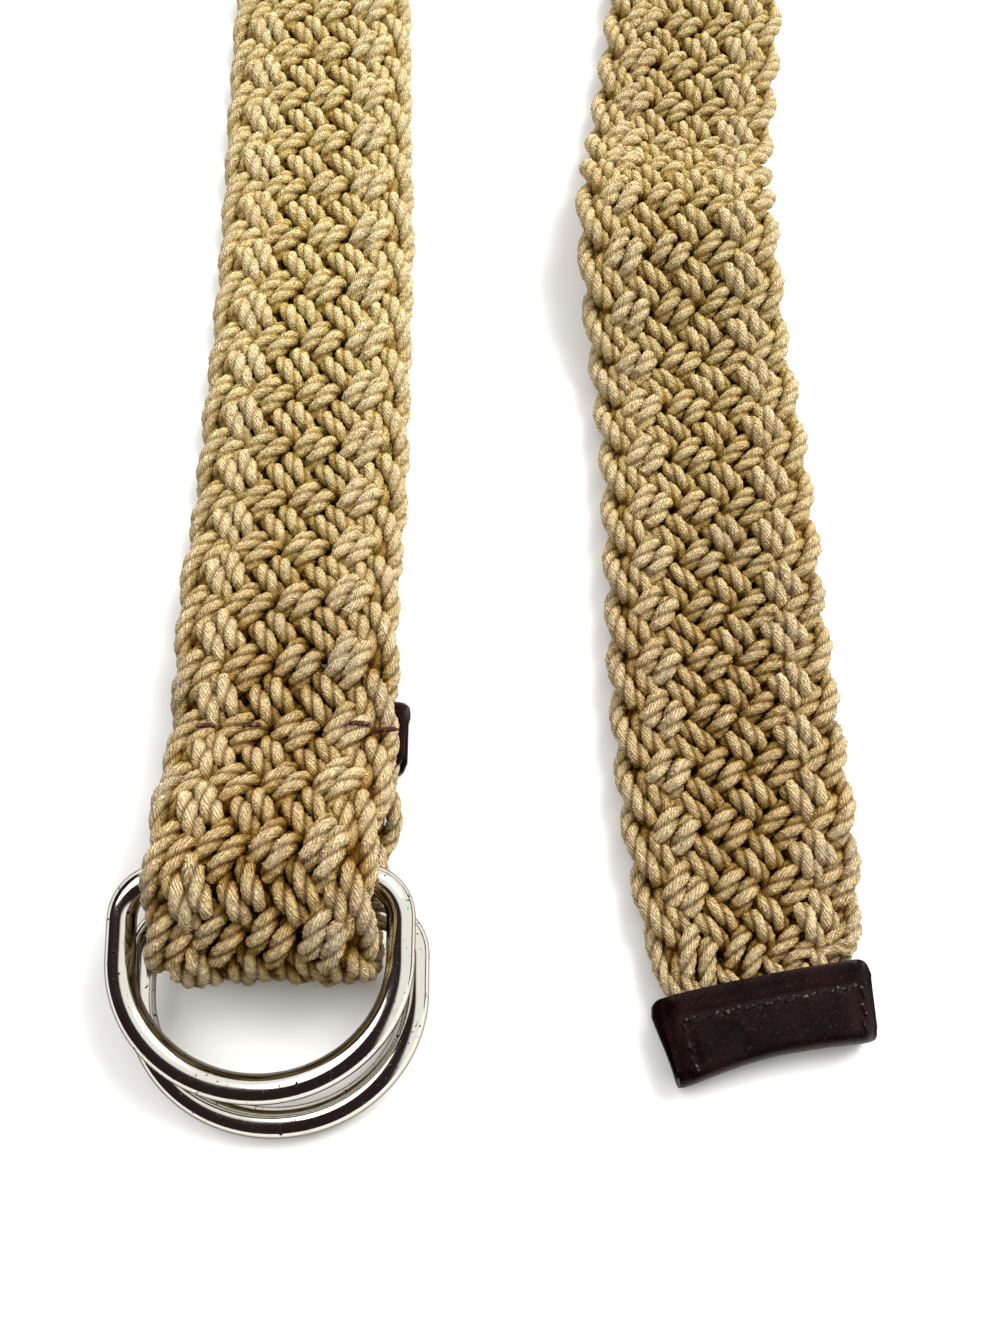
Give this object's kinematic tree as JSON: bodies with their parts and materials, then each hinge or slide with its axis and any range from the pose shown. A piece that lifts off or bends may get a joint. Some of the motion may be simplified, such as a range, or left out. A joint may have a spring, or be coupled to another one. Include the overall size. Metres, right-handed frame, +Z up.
{
  "type": "braided d-ring belt",
  "caption": "Flat braided cotton cord belt folded over metal D-rings at one end, with a stitched leather tip at the other, laid out as a loop.",
  "frame": {"origin": "middle of the belt's box, on the surface that it lies on", "axes": "+Z up off the surface, -Y towards the rings and the leather tip, +Y towards the turn in the belt's middle"},
  "size_m": [0.1368, 0.4992, 0.044],
  "materials": {
    "cotton_cord": "twisted cotton cord, matte",
    "chromed_wire": "polished, with fine pits",
    "brown_leather": "dark maroon brown, satin"
  },
  "bodies": {
    "belt": {"braid_band": "cotton_cord", "leather_tab": "brown_leather", "leather_tip": "brown_leather"},
    "front_ring": {"front_ring": "chromed_wire"},
    "back_ring": {"back_ring": "chromed_wire"}
  },
  "joints": [
    {"name": "front_ring_swing", "type": "hinge", "parent": "belt", "child": "front_ring", "pos_m": [-0.04215, -0.20936, 0.01497], "axis": [-1, 0, 0], "range_deg": [0, 150]},
    {"name": "back_ring_swing", "type": "hinge", "parent": "belt", "child": "back_ring", "pos_m": [-0.04016, -0.21468, 0.00875], "axis": [1, 0, 0], "range_deg": [0, 120]}
  ]
}
